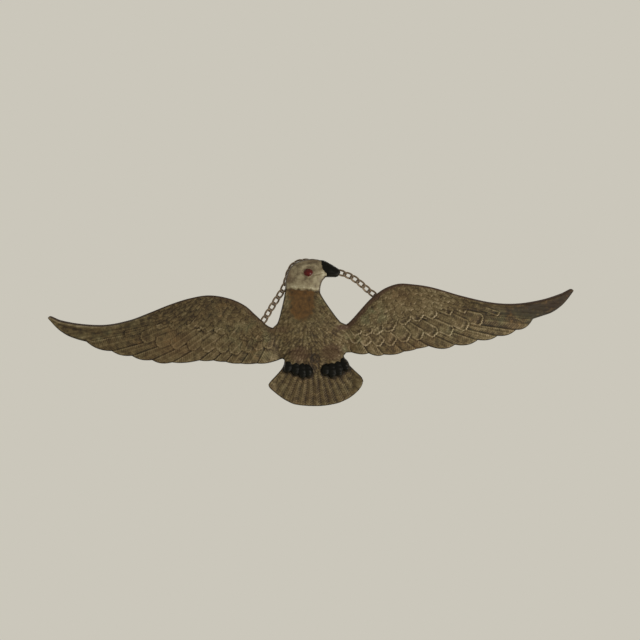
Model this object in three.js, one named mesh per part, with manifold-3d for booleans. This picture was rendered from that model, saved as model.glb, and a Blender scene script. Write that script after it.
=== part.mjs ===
// A cast brass eagle with spread wings, made to hang flat on a wall by a chain.
// Sizes are in millimetres. X runs to the viewer's right, Z up, and the front faces -Y.
// Shapes are laid out from the shoulder line, and "height" is the distance in front of the wall.
import * as THREE from "three";
import { mergeVertices } from "three/addons/utils/BufferGeometryUtils.js";
import Module from "manifold-3d";

const wasm = await Module();
wasm.setup();

// The origin is on the flat pad of the back, this far below the shoulder line
const PAD_BELOW_SHOULDERS = 24;

// Casting
const BACK_LIFT = 5; // shoulders and head stand this far off the wall, so that the chain passes behind
const EDGE_ROUND = 1.3;
const EDGE_THICKNESS = 2.7;
const EDGE_MIDDLE = 0.45; // the casting's edge stands furthest out at this share of its thickness
const WING_CROWN = 4.7;
const WING_HEEL = 3.8;
const BODY_CROWN = 7.6;
const BODY_SIDE = 2.6;
const BODY_PAD = 0.6; // the body's back stays this far off the wall
const HEAD_CROWN = 8.4;
const HEAD_SIDE = 3.2;
const BEAK_CROWN = 6.6;
const BEAK_SIDE = 2.4;
const TAIL_THICKNESS = 3.6;
const BURIED = 1.1; // how deep a feather's foot goes into the surface it grows from
const ROOT_SUNK = 0.35; // and its upper side at the root
const FEATHER_WIDTHS = [[0, 0.7], [0.6, 1], [1, 0.42]]; // share of its width at shares of its length

// Chain
const LINK_HALF_LENGTH = 4.35;
const LINK_HALF_WIDTH = 2.25;
const LINK_WIRE_RADIUS = 0.84;
const LINK_SQUARENESS = 0.55; // below 1 the oval has fuller corners
const LINK_CORNERS = 12;
const LINK_SIDES = 5;
const LINK_TWIST = THREE.MathUtils.degToRad(52);
const LINK_PITCH = 6.6;
const CHAIN_HEIGHT = 2.55;
const LUG_RADIUS = 4.48;
const LUG_WIRE_RADIUS = 0.5;
const LUG_TO_LINK = 4.4;
const LUG_ROOT_ANGLE = 0.2; // the half ring goes on this far into the casting
const LUG_STEPS = 9;

// Each wing's outline is given outwards from the body, with x away from the middle.
// The lower edge is a row of feather tips: each bulges below the line between two notches.
const RIGHT_WING = {
  side: 1,
  top: [
    [22, 3.4], [30.6, 3.9], [36, 8], [45, 17.1], [52.2, 24.3], [58.5, 29.2], [67.5, 34.5], [79, 37.7],
    [90, 36.9], [108, 33.3], [135, 24.1], [162, 16.7], [184, 14.6], [207, 16.9], [225, 21.6], [233, 25.1],
    [235, 25], [236.3, 23.8],
  ],
  notches: [
    [34.2, -21.4], [49.5, -22.9], [63, -24.8], [81, -23.1], [92.7, -21.2], [103.5, -19.4], [126.9, -19.4],
    [147.6, -16.2], [165.6, -13.5], [182.7, -9], [198.5, 0],
  ],
  bulges: [1.3, 1.7, 1.4, 0.5, 0.3, 3.1, 2.4, 1.9, 2.1, 3.3],
  tipBelly: [[198.5, 0], [207, 2.3], [216, 5], [225, 10.6], [231, 16.5], [236.3, 23]],
};
const LEFT_WING = {
  side: -1,
  top: [
    [22, 4.2], [35.1, 4.5], [40.5, 7.5], [49.5, 16.6], [58.5, 25.4], [72, 32.4], [90, 36.2], [108, 34.4],
    [126, 29.7], [144, 23.6], [162, 18], [184, 14.9], [207, 16.9], [225, 21.2], [233, 25.1],
    [235, 25], [236, 23.8],
  ],
  notches: [
    [28.8, -24.1], [50.4, -26.8], [64.8, -26.2], [78.3, -23.9], [89.1, -22.1], [101.7, -21.4], [126, -21.9],
    [144, -18.9], [162, -14.2], [180, -9], [202.5, 0.5],
  ],
  bulges: [1.4, 0.5, 0.7, 0.5, 0.6, 1.2, 2, 1.8, 1.8, 2.6],
  tipBelly: [[202.5, 0.5], [211, 3.2], [220, 7.3], [228, 13.6], [236, 23]],
};
const NOTCH_SKEW = 0.4; // feather tips are fuller on their outer side

// Feather rows of a wing: the line that their tips follow, and the run of tips along it
const GREATER_COVERTS = {
  tips: [[33, -13], [70, -16], [95, -11.8], [135, -5.4], [168, 5.9]],
  from: 33, to: 168, count: 11, spread: 1.2, stagger: 2, depth: 4, rise: 1, ridge: 0.3,
};
const MEDIAN_COVERTS = {
  tips: [[36, -6.5], [65, -5], [85, 2], [112, 8], [146, 11]],
  from: 37, to: 146, count: 9, spread: 1.15, stagger: 0, depth: 4, rise: 0.95, ridge: 0.3,
};
const LESSER_ROWS = [
  { share: 0.26, from: 37, to: 130, count: 9, spread: 1.05, stagger: 2, depth: 2.2, rise: 0.7, ridge: 0.15 },
  { share: 0.5, from: 36, to: 136, count: 9, spread: 1.1, stagger: 0, depth: 2.6, rise: 0.75, ridge: 0.15 },
  { share: 0.74, from: 36, to: 141, count: 9, spread: 1.1, stagger: 2, depth: 3, rise: 0.8, ridge: 0.2 },
];
const STEP_SLOPE = 0.25; // how far the foot of a feather's end stands out from under it
const POINTS_TO_A_FEATHER = 4;
const LINE_POINTS = 52;
const TIP_FULLNESS = [0, 0.72, 1, 0.8]; // how far out each point of a covert's rounded end reaches
const SCALLOP_PLACES = [0, 0.27, 0.56, 0.84]; // and the points of a flight feather's end, along and out
const SCALLOP_FULLNESS = [0, 0.7, 1, 0.6];
const WING_ROOT = 20; // the end of the wing inside the body
const UPPER_EDGE_FROM = 29;

// Body, head and tail: left and right edges at each height, and the fan's two edges across
const BODY_LEFT = [
  [-25.5, -26], [-21, -30], [-12, -34], [2, -36], [4.5, -34.6], [8.1, -30.6], [18, -27], [30.6, -23.4],
  [38, -21.9],
];
const BODY_RIGHT = [
  [-25.5, 26], [-21, 30], [-12, 34], [1, 34], [3.8, 30.8], [6.3, 26.1], [17.6, 18], [29.7, 10.8], [38, 7.4],
];
const HEAD_LEFT = [
  [35.5, -22.3], [40, -21.1], [43.5, -20.6], [47.5, -19.6], [51.9, -18], [55.7, -16.1],
  [58.8, -13.4], [61.3, -9.5], [62.7, -5.3], [63.5, -1.4], [63.9, 2],
];
const HEAD_RIGHT = [
  [35.5, 9.2], [40, 10.1], [44, 11.9], [47, 14.7], [50, 15.4], [54, 13.5], [58.5, 12.8], [61.7, 11.3],
  [63.1, 8.5], [63.9, 4],
];
const BEAK_TOP = [[9, 62.4], [13, 62.2], [16.2, 60.8], [19.8, 58.5], [24.3, 55.4], [27, 53.4], [28, 51.8]];
const BEAK_BOTTOM = [
  [9, 45.6], [12, 46], [14.7, 46.8], [18, 46.7], [21.6, 46.5], [24.3, 46.5], [26.6, 47.8], [28, 50.3],
];
const FAN_TOP = [
  [-41.3, -46], [-40.4, -44.6], [-38.6, -42.6], [-33.3, -37.6], [-29.7, -33.8], [-28, -31.5], [-26.6, -28.4],
  [-24, -13], [24, -13], [27.4, -24.5], [29.2, -28.8], [32.4, -33.3], [36, -37.3], [41.4, -42.7],
  [42.8, -44.7], [43.4, -46.6],
];
const FAN_BOTTOM = [
  [-41.3, -47.4], [-40.4, -49.3], [-38.7, -51.2], [-33.3, -56.4], [-27, -61.3], [-18, -65.7], [2, -68.1],
  [18, -66.8], [27, -63.9], [32.8, -60.7], [38.7, -55.8], [42, -51.4], [43.4, -47.9],
];
const FAN_CENTRE = [1, -4];
const FAN_FEATHERS = 11;
const FAN_SPREAD = THREE.MathUtils.degToRad(39);
const FAN_REACH = 61; // from the centre to the tip of the middle feather
const FAN_STATIONS = [
  -41.3, -40.4, -38.6, -33.3, -29.7, -26.6, -24, -16, -8, 4, 12, 18, 24, 27.4, 29.2, 32.4, 38, 41.4, 42.8,
  43.4,
];

// Rows of hackle feathers on the breast: height up, half width and number
const HACKLE_ROWS = [
  { z: 4, half: 17, count: 5 },
  { z: -5, half: 22, count: 6 },
  { z: -15, half: 20, count: 5 },
];

// Toes: centre across and up, half width, half length and lean
const TOES = [
  [-22.7, -31.2, 3.8, 6.2, 0.32], [-16.3, -33, 4.1, 6.8, 0.1], [-10.3, -35.5, 4, 7.4, 0],
  [-5, -35.5, 3.8, 6.8, -0.05], [10.4, -35.8, 3.8, 5.4, 0.1], [16.2, -36.4, 4.2, 7.6, 0],
  [22, -34.8, 4.2, 7.9, -0.1], [27.8, -31.9, 3.8, 6.6, -0.4],
];
const BELLY = [ // height up, half width and height in front of the wall
  [-12, 20, 3.5], [-19, 19.5, 7.4], [-25, 17.5, 8.4], [-30.5, 13, 7.8], [-35.5, 7.5, 6.2], [-39, 2.5, 4.4],
];
const THIGHS = [
  { at: [-16, -24.5], half: [11, 8], lean: -0.35 },
  { at: [17.5, -24.5], half: [11, 8], lean: 0.35 },
];
const THIGH_CENTRE = 4.2;
const THIGH_RISE = 4;
const TOE_OUT = 0.9; // a toe's centre is this far in front of the fan
const TOE_RISE = 3.8;
const EYE = { at: [-0.6, 51.5], half: [4.2, 3.4], proud: 1.3 };

// The chain's route behind the casting and over its head, as it lies
const CHAIN_ROUTE = [
  [-49.5, 3.3], [-43.2, 10.8], [-36.5, 20.6], [-28.4, 32], [-24.6, 37.2], [-21.8, 42.3], [-19.9, 47.1],
  [-18.3, 51.7], [-16.3, 55.7], [-13.5, 58.9], [-9.8, 61], [-5.3, 61.9], [-0.5, 61.7], [4.4, 60.7],
  [8.8, 59.3], [14.4, 56.9], [21.6, 53.4], [30, 49.8], [37.2, 46.5], [42.6, 42.6], [47.5, 38.1],
  [52.6, 33.1], [57.2, 29.3], [64.2, 23.2],
];

// Smooth curve through points in rising order of their first number
function through(points) {
  const slope = points.map((p, i) => {
    const a = points[Math.max(i - 1, 0)];
    const b = points[Math.min(i + 1, points.length - 1)];
    return (b[1] - a[1]) / (b[0] - a[0]);
  });
  return (x) => {
    let i = 0;
    while (i < points.length - 2 && x > points[i + 1][0]) i++;
    const [x0, y0] = points[i];
    const [x1, y1] = points[i + 1];
    const span = x1 - x0;
    const t = THREE.MathUtils.clamp((x - x0) / span, 0, 1);
    const t2 = t * t;
    const t3 = t2 * t;
    return (
      (2 * t3 - 3 * t2 + 1) * y0 + (t3 - 2 * t2 + t) * span * slope[i] +
      (3 * t2 - 2 * t3) * y1 + (t3 - t2) * span * slope[i + 1]
    );
  };
}

// Straight lines through the same kind of points
function polyline(points) {
  return (x) => {
    let i = 0;
    while (i < points.length - 2 && x > points[i + 1][0]) i++;
    const [x0, y0] = points[i];
    const [x1, y1] = points[i + 1];
    return THREE.MathUtils.lerp(y0, y1, THREE.MathUtils.clamp((x - x0) / (x1 - x0), 0, 1));
  };
}

function signedVolume(geometry) {
  const p = geometry.getAttribute("position");
  const index = geometry.index;
  const corner = [new THREE.Vector3(), new THREE.Vector3(), new THREE.Vector3()];
  let sum = 0;
  for (let i = 0; i < index.count; i += 3) {
    corner.forEach((v, k) => v.fromBufferAttribute(p, index.getX(i + k)));
    sum += corner[0].dot(corner[1].cross(corner[2])) / 6;
  }
  return sum;
}

// A geometry from points and triangles, turned so that its faces point out
function closedGeometry(points, triangles) {
  const geometry = new THREE.BufferGeometry().setFromPoints(points);
  geometry.setIndex(triangles);
  if (signedVolume(geometry) < 0) {
    for (let i = 0; i < triangles.length; i += 3) {
      [triangles[i + 1], triangles[i + 2]] = [triangles[i + 2], triangles[i + 1]];
    }
    geometry.setIndex(triangles);
  }
  return geometry;
}

// A closed solid through a row of sections, each with the same number of corners in the same order
function loft(sections) {
  const corners = sections[0].length;
  const triangles = [];
  for (let s = 0; s + 1 < sections.length; s++) {
    for (let c = 0; c < corners; c++) {
      const a = s * corners + c;
      const b = s * corners + ((c + 1) % corners);
      triangles.push(a, b, b + corners, a, b + corners, a + corners);
    }
  }
  const last = (sections.length - 1) * corners;
  for (let c = 1; c + 1 < corners; c++) {
    triangles.push(0, c + 1, c);
    triangles.push(last, last + c, last + c + 1);
  }
  return closedGeometry(sections.flat(), triangles);
}

// A section across a plate from its low edge to its high edge: flat back, rounded edges, shaped front
function plateSection(place, low, high, back, front, shares) {
  const round = Math.min(EDGE_ROUND, 0.3 * (high - low));
  const edge = (v, inward) => {
    const at = v + inward;
    return place(v, THREE.MathUtils.lerp(back(at), front(at), EDGE_MIDDLE));
  };
  const crown = shares.map((share) => {
    const v = THREE.MathUtils.lerp(low + 0.7 * round, high - 0.7 * round, share);
    return place(v, front(v));
  });
  return [
    place(high - round, back(high - round)),
    place(low + round, back(low + round)),
    edge(low, round),
    ...crown,
    edge(high, -round),
  ];
}

const smooth = (x, from, to) => THREE.MathUtils.smoothstep(x, from, to);

// Height of the back in front of the wall
function backHeight(x, z) {
  const wings = smooth(Math.abs(x), 26, 46) * (1 - 0.8 * smooth(Math.abs(x), 115, 225));
  const neck = smooth(z, -14, 10) * (1 - smooth(Math.abs(x), 30, 60));
  return BACK_LIFT * (1 - (1 - wings) * (1 - neck));
}

// Lower edge of a wing: feather tips between the notches, then the belly of the long tip feather
function lowerEdge(wing) {
  const belly = through(wing.tipBelly);
  const { notches, bulges } = wing;
  return (x) => {
    if (x >= notches[notches.length - 1][0]) return belly(x);
    let i = 0;
    while (i < bulges.length - 1 && x > notches[i + 1][0]) i++;
    const [x0, z0] = notches[i];
    const [x1, z1] = notches[i + 1];
    const t = THREE.MathUtils.clamp((x - x0) / (x1 - x0), 0, 1);
    const drop = 4 * t * (1 - t) * (1 + NOTCH_SKEW * (t - 0.5)) * bulges[i];
    return THREE.MathUtils.lerp(z0, z1, t) - drop;
  };
}

// Which way feathers point, as an angle below the horizontal: down by the body, outwards at the tip
function featherAngle(x) {
  const share = THREE.MathUtils.clamp((x - 36) / 158, 0, 1);
  return THREE.MathUtils.degToRad(75 - 67 * share ** 0.62);
}

// One feather of the breast or tail: a thin plate that rises out of the surface towards a narrower tip
function feather({ tip, angle, length, width, face, rise, lean }) {
  const along = [Math.cos(angle), -Math.sin(angle)];
  return loft(
    FEATHER_WIDTHS.map(([share, narrow]) => {
      const back = length * (1 - share);
      const half = 0.5 * width * narrow;
      const corner = (side, lift) => {
        const x = tip[0] - along[0] * back - along[1] * half * side;
        const z = tip[1] - along[1] * back + along[0] * half * side;
        return new THREE.Vector3(x, -face(x, z) - lift, z);
      };
      const top = (side) => corner(side, THREE.MathUtils.lerp(-ROOT_SUNK, rise, share) - lean * side);
      return [corner(-1, -BURIED), top(-1), top(1), corner(1, -BURIED)];
    }),
  );
}

// One line of a wing: a run of feather tips from the body outwards, then smooth on to the wing's tip.
// Every line has the same number of points.
function featherLine({ line, from, to, count, spread, stagger, depth, wingTip }) {
  const boundary = (i) => from + (to - from) * (i < 0 ? i / count : (i / count) ** spread);
  const points = [];
  for (let k = 0; k <= LINE_POINTS; k++) {
    const c = k - stagger;
    const end = POINTS_TO_A_FEATHER * count;
    if (c > end) {
      const x = THREE.MathUtils.lerp(to, wingTip, ((c - end) / (LINE_POINTS - stagger - end)) ** 1.15);
      points.push({ x, z: line(x), full: 0.8, raised: 0 });
      continue;
    }
    const i = Math.floor(c / POINTS_TO_A_FEATHER);
    const phase = c - POINTS_TO_A_FEATHER * i;
    const middle = THREE.MathUtils.lerp(boundary(i), boundary(i + 1), phase / POINTS_TO_A_FEATHER);
    const full = TIP_FULLNESS[phase];
    const angle = featherAngle(middle);
    const retreat = depth * (1 - full);
    points.push({
      x: middle - retreat * Math.cos(angle), z: line(middle) + retreat * Math.sin(angle), full, raised: 1,
    });
  }
  return points;
}

function wingSolid(wing) {
  const upper = through(wing.top);
  const lower = lowerEdge(wing);
  const wingTip = wing.top.at(-1)[0];
  const lastNotch = wing.notches.at(-1)[0];
  const place = ({ x, z }, height) => new THREE.Vector3(wing.side * x, -height, z);
  const thickness = polyline([
    [0, EDGE_THICKNESS], [0.3, WING_CROWN], [0.66, WING_HEEL], [1, EDGE_THICKNESS],
  ]);
  const face = ({ x, z }) => {
    const top = upper(x);
    const share = THREE.MathUtils.clamp((top - z) / (top - lower(x)), 0, 1);
    return backHeight(x, z) + thickness(share) * THREE.MathUtils.lerp(1, 0.78, smooth(x, 60, 225));
  };
  const across = (share) => (x) => THREE.MathUtils.lerp(upper(x), lower(x), share);

  // Past its last feather a row's line runs on towards the tip at a steady share of the wing's width
  const onwards = (line, end, shareAtEnd, shareAtTip, reach) => (x) =>
    x <= end ? line(x) : across(THREE.MathUtils.lerp(shareAtEnd, shareAtTip, smooth(x, end, reach)))(x);
  const shareOf = (line, x) => (upper(x) - line(x)) / (upper(x) - lower(x));
  const greater = through(GREATER_COVERTS.tips);
  const median = through(MEDIAN_COVERTS.tips);
  const { to: greaterEnd } = GREATER_COVERTS;
  const { to: medianEnd } = MEDIAN_COVERTS;
  const medianLine = onwards(median, medianEnd, shareOf(median, medianEnd), 0.36, wingTip);
  const greaterLine = onwards(greater, greaterEnd, shareOf(greater, greaterEnd), 0.86, lastNotch + 1);
  const rows = LESSER_ROWS.map(({ share, ...row }) => ({
    ...row, line: (x) => THREE.MathUtils.lerp(upper(x), medianLine(x), share),
  }));
  rows.push({ ...MEDIAN_COVERTS, line: medianLine }, { ...GREATER_COVERTS, line: greaterLine });

  const ringOf = rows.map((row) => featherLine({ ...row, wingTip }));
  const upperPoints = [];
  const lowerPoints = [];
  for (let k = 0; k <= LINE_POINTS; k++) {
    const u = k / LINE_POINTS;
    const x = THREE.MathUtils.lerp(UPPER_EDGE_FROM, wingTip, u ** 1.12);
    upperPoints.push({ x, z: upper(x) });
  }
  const scalloped = POINTS_TO_A_FEATHER * wing.bulges.length;
  for (let k = 0; k < scalloped; k++) {
    const i = Math.floor(k / POINTS_TO_A_FEATHER);
    const phase = k - POINTS_TO_A_FEATHER * i;
    const x = THREE.MathUtils.lerp(wing.notches[i][0], wing.notches[i + 1][0], SCALLOP_PLACES[phase]);
    lowerPoints.push({ x, z: lower(x), full: SCALLOP_FULLNESS[phase] });
  }
  for (let k = scalloped; k <= LINE_POINTS; k++) {
    const x = THREE.MathUtils.lerp(lastNotch, wingTip, (k - scalloped) / (LINE_POINTS - scalloped));
    lowerPoints.push({ x, z: lower(x), full: 0.6 });
  }

  const inset = (point, by) => ({ x: point.x, z: point.z + by });
  const sections = [];
  for (let k = 0; k <= LINE_POINTS; k++) {
    const top = upperPoints[k];
    const low = lowerPoints[k];
    const roundTop = Math.min(EDGE_ROUND, 0.12 * (top.z - lower(top.x)));
    const roundLow = Math.min(EDGE_ROUND, 0.12 * (upper(low.x) - low.z));
    const angle = featherAngle(low.x);
    const section = [
      place(inset(top, -roundTop), backHeight(top.x, top.z)),
      place(top, THREE.MathUtils.lerp(backHeight(top.x, top.z), face(top), EDGE_MIDDLE)),
      place(inset(top, -roundTop), face(inset(top, -roundTop))),
    ];
    ringOf.forEach((points, r) => {
      const point = points[k];
      const { rise, ridge } = rows[r];
      const step = STEP_SLOPE * (point.raised ? 1 : 0.5);
      const foot = { x: point.x + step * Math.cos(angle), z: point.z - step * Math.sin(angle) };
      const lift = point.raised ? rise * (0.55 + 0.45 * point.full) + (point.full === 1 ? ridge : 0) : 0.25;
      section.push(place(point, face(point) + lift));
      section.push(place(foot, face(foot) - 0.1 * point.full));
    });
    const ledge = inset(low, roundLow);
    section.push(place(ledge, face(ledge) + 0.25 + 0.35 * low.full));
    section.push(place(low, THREE.MathUtils.lerp(backHeight(low.x, low.z), face(low), EDGE_MIDDLE)));
    section.push(place(ledge, backHeight(ledge.x, ledge.z)));
    sections.push(section);
  }

  const rowShares = rows.flatMap((_, r) => [0.12 + 0.15 * r, 0.13 + 0.15 * r]);
  const rootShares = [0.05, 0, 0.05, ...rowShares, 0.95, 1, 0.95];
  const root = rootShares.map((share, i) => {
    const point = { x: WING_ROOT, z: across(share)(WING_ROOT) };
    const isBack = i === 0 || i === rootShares.length - 1;
    const depth = isBack ? 0.2 : 2.2;
    return place(point, backHeight(point.x, point.z) + depth);
  });
  return loft([root, ...sections]);
}

// Height of the body's front: a full breast, lower at the neck's sides and where it meets the wings
function breastHeight(x, z, left, right) {
  const across = (2 * x - left - right) / (right - left);
  const dome = Math.sqrt(Math.max(0, 1 - 0.92 * across * across));
  const crown = BODY_CROWN - 2.2 * smooth(z, 8, 34) - 1.6 * (1 - smooth(z, -30, -8));
  return backHeight(x, z) + THREE.MathUtils.lerp(BODY_SIDE, crown, dome);
}

function bodySolid() {
  const left = through(BODY_LEFT);
  const right = through(BODY_RIGHT);
  const stations = [-25.5, -19, -12, -5, 0, 4, 6.5, 11, 17, 24, 31, 37];
  return loft(
    stations.map((z) =>
      plateSection(
        (x, height) => new THREE.Vector3(x, -height, z), left(z), right(z),
        (x) => Math.max(backHeight(x, z), BODY_PAD), (x) => breastHeight(x, z, left(z), right(z)),
        [0, 0.18, 0.4, 0.6, 0.82, 1],
      ),
    ),
  );
}

// The belly runs down between the feet and ends in a rounded point over the fan
function bellySolid() {
  return loft(
    BELLY.map(([z, half, height]) => {
      const corner = (share, level) => new THREE.Vector3(1 + half * share, -level, z);
      return [
        corner(-1, 1.5), corner(-1, 0.55 * height), corner(-0.6, 0.88 * height), corner(0, height),
        corner(0.6, 0.88 * height), corner(1, 0.55 * height), corner(1, 1.5),
      ];
    }),
  );
}

// An oval swelling, half sunk in the surface behind it
function swelling({ at: [x, z], half: [halfWidth, halfLength], centre, rise, lean = 0, sides, rings }) {
  const geometry = new THREE.SphereGeometry(1, sides, rings);
  geometry.scale(halfWidth, rise, halfLength);
  geometry.rotateY(lean);
  geometry.translate(x, -centre, z);
  return geometry;
}

function thighSolid(thigh) {
  return swelling({ ...thigh, centre: THIGH_CENTRE, rise: THIGH_RISE, sides: 8, rings: 6 });
}

// Hackle feathers fan down and outwards over the lower breast
function hackleSolids() {
  const left = through(BODY_LEFT);
  const right = through(BODY_RIGHT);
  const face = (x, z) => breastHeight(x, z, left(z), right(z));
  const solids = [];
  for (const { z, half, count } of HACKLE_ROWS) {
    for (let i = 0; i < count; i++) {
      const share = (2 * i) / (count - 1) - 1;
      const angle = Math.PI / 2 - 0.5 * share;
      const tip = [share * half, z + 2.5 * share * share];
      solids.push(feather({ tip, angle, face, length: 13, width: 7.5, rise: 0.5, lean: 0 }));
    }
  }
  return solids;
}

const headLeft = through(HEAD_LEFT);
const headRight = through(HEAD_RIGHT);

function headHeight(x, z) {
  const left = headLeft(z);
  const right = headRight(z);
  const across = THREE.MathUtils.clamp((2 * x - left - right) / (right - left), -1, 1);
  const dome = Math.sqrt(1 - 0.9 * across * across);
  const brow = Math.sqrt(Math.max(0.1, 1 - Math.max(0, (z - 50) / 14.6) ** 2));
  return backHeight(x, z) + HEAD_SIDE + (HEAD_CROWN - HEAD_SIDE) * dome * brow;
}

function headSolid() {
  const stations = [35.6, 37.5, 41, 45, 49, 53, 56.5, 59.5, 61.7, 63.1, 63.9];
  return loft(
    stations.map((z) =>
      plateSection(
        (x, height) => new THREE.Vector3(x, -height, z), headLeft(z), headRight(z),
        (x) => backHeight(x, z), (x) => headHeight(x, z), [0, 0.2, 0.45, 0.7, 1],
      ),
    ),
  );
}

function beakSolid() {
  const top = through(BEAK_TOP);
  const bottom = through(BEAK_BOTTOM);
  const stations = [9, 12, 15, 18, 21, 24, 26.3, 27.6, 28];
  return loft(
    stations.map((x) =>
      plateSection(
        (z, height) => new THREE.Vector3(x, -height, z), bottom(x), top(x),
        (z) => backHeight(x, z),
        (z) => {
          const share = (2 * z - top(x) - bottom(x)) / (top(x) - bottom(x));
          const dome = Math.sqrt(Math.max(0, 1 - 0.85 * share * share));
          const taper = 1 - 0.5 * smooth(x, 16, 29);
          return backHeight(x, z) + BEAK_SIDE + (BEAK_CROWN - BEAK_SIDE) * dome * taper;
        },
        [0, 0.3, 0.7, 1],
      ),
    ),
  );
}

const fanTop = polyline(FAN_TOP);
const fanBottom = through(FAN_BOTTOM);

function fanHeight(x, z) {
  const middle = smooth(z, -66, -30) * (1 - smooth(Math.abs(x - 1), 4, 44));
  return TAIL_THICKNESS + 1.6 * middle;
}

function fanSolids() {
  const solids = [
    loft(
      FAN_STATIONS.map((x) =>
        plateSection(
          (z, height) => new THREE.Vector3(x, -height, z), fanBottom(x), fanTop(x),
          () => 0, (z) => fanHeight(x, z), [0, 0.5, 1],
        ),
      ),
    ),
  ];
  for (let i = 0; i < FAN_FEATHERS; i++) {
    const turn = THREE.MathUtils.lerp(-FAN_SPREAD, FAN_SPREAD, i / (FAN_FEATHERS - 1));
    const angle = Math.PI / 2 - turn;
    const reach = FAN_REACH - 3 * (turn / FAN_SPREAD) ** 2;
    const tip = [FAN_CENTRE[0] + reach * Math.sin(turn), FAN_CENTRE[1] - reach * Math.cos(turn)];
    const width = (2 * FAN_SPREAD * reach) / FAN_FEATHERS;
    solids.push(feather({ tip, angle, width, face: fanHeight, length: 36, rise: 0.5, lean: 0.15 }));
  }
  return solids;
}

function toeSolid([x, z, halfWidth, halfLength, lean]) {
  const at = [x, z];
  const half = [halfWidth, halfLength];
  const centre = fanHeight(x, z) + TOE_OUT;
  return swelling({ at, half, lean, centre, rise: TOE_RISE, sides: 7, rings: 5 });
}

function eyeSolid() {
  const centre = headHeight(...EYE.at) - EYE.proud;
  return swelling({ ...EYE, centre, rise: 2 * EYE.proud, sides: 10, rings: 6 });
}

// The chain's route as a curve in the plane of the wall, and a place on it by length
const route = new THREE.CatmullRomCurve3(CHAIN_ROUTE.map(([x, z]) => new THREE.Vector3(x, -CHAIN_HEIGHT, z)));
route.arcLengthDivisions = 1200;
const routeLength = route.getLength();

// A cast eye on the back, standing in line with the chain, that its end link hooks through.
// It is half a ring whose ends run a little way into the casting.
function lugSolid(share) {
  const at = route.getPointAt(share);
  const along = route.getTangentAt(share);
  const back = backHeight(at.x, at.z);
  const points = [];
  for (let i = 0; i <= LUG_STEPS; i++) {
    const turn = THREE.MathUtils.lerp(-LUG_ROOT_ANGLE, Math.PI + LUG_ROOT_ANGLE, i / LUG_STEPS);
    const point = along.clone().multiplyScalar(LUG_RADIUS * Math.cos(turn));
    points.push(point.add(new THREE.Vector3(at.x, LUG_RADIUS * Math.sin(turn) - back, at.z)));
  }
  const wire = new THREE.Shape().absarc(0, 0, LUG_WIRE_RADIUS, 0, 2 * Math.PI);
  return new THREE.ExtrudeGeometry(wire, {
    extrudePath: new THREE.CatmullRomCurve3(points),
    steps: LUG_STEPS,
    curveSegments: 6,
    bevelEnabled: false,
  });
}

// Joins overlapping closed geometries into one
function joined(geometries) {
  const solids = geometries.map((geometry) => {
    const bare = geometry.clone();
    bare.deleteAttribute("normal");
    bare.deleteAttribute("uv");
    const merged = mergeVertices(bare, 1e-4);
    return new wasm.Manifold(
      new wasm.Mesh({
        numProp: 3,
        vertProperties: merged.getAttribute("position").array,
        triVerts: new Uint32Array(merged.index.array),
      }),
    );
  });
  let whole = solids[0];
  for (const solid of solids.slice(1)) whole = whole.add(solid);
  const bySize = whole.decompose().sort((a, b) => b.volume() - a.volume());
  const mesh = bySize[0].getMesh(); // leaves out slivers without volume
  const geometry = new THREE.BufferGeometry();
  geometry.setAttribute("position", new THREE.BufferAttribute(mesh.vertProperties, 3));
  geometry.setIndex(new THREE.BufferAttribute(mesh.triVerts, 1));
  return geometry;
}

// A link is an oval of wire, twisted along its length so that a row of them lies flat
function linkGeometry() {
  const points = [];
  for (let i = 0; i < LINK_CORNERS; i++) {
    const turn = (2 * Math.PI * (i + 0.5)) / LINK_CORNERS;
    const squared = (value) => Math.sign(value) * Math.abs(value) ** LINK_SQUARENESS;
    const x = LINK_HALF_LENGTH * squared(Math.cos(turn));
    const y = LINK_HALF_WIDTH * squared(Math.sin(turn));
    const twist = (LINK_TWIST * x) / LINK_HALF_LENGTH;
    points.push(new THREE.Vector3(x, y * Math.cos(twist), y * Math.sin(twist)));
  }
  const line = new THREE.CatmullRomCurve3(points, true);
  return new THREE.TubeGeometry(line, LINK_CORNERS, LINK_WIRE_RADIUS, LINK_SIDES, true);
}

const castMetal = new THREE.MeshStandardMaterial({ color: 0x61543b, roughness: 0.6, metalness: 0.7 });
const chainMetal = new THREE.MeshStandardMaterial({ color: 0x6e6048, roughness: 0.45, metalness: 0.9 });

const plaque = new THREE.Group();
const shoulders = new THREE.Group();
shoulders.position.z = PAD_BELOW_SHOULDERS;
plaque.add(shoulders);

const eagle = new THREE.Mesh(
  joined([
    ...fanSolids(),
    bodySolid(),
    bellySolid(),
    ...hackleSolids(),
    wingSolid(RIGHT_WING),
    wingSolid(LEFT_WING),
    headSolid(),
    beakSolid(),
    eyeSolid(),
    ...THIGHS.map(thighSolid),
    ...TOES.map(toeSolid),
    lugSolid(0),
    lugSolid(1),
  ]),
  castMetal,
);
eagle.name = "eagle";
shoulders.add(eagle);

const run = routeLength - 2 * LUG_TO_LINK;
const linkCount = Math.round(run / LINK_PITCH) + 1;
const linkShape = linkGeometry();
for (let i = 0; i < linkCount; i++) {
  const share = (LUG_TO_LINK + (run * i) / (linkCount - 1)) / routeLength;
  const along = route.getTangentAt(share);
  const out = new THREE.Vector3(0, -1, 0);
  const across = new THREE.Vector3().crossVectors(out, along);
  const link = new THREE.Mesh(linkShape, chainMetal);
  link.name = "chain_link_" + String(i + 1).padStart(2, "0");
  link.quaternion.setFromRotationMatrix(new THREE.Matrix4().makeBasis(along, across, out));
  link.position.copy(route.getPointAt(share));
  shoulders.add(link);
}

export default plaque;
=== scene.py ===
import math

import bpy
import numpy as np
from mathutils import Matrix, Vector


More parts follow.
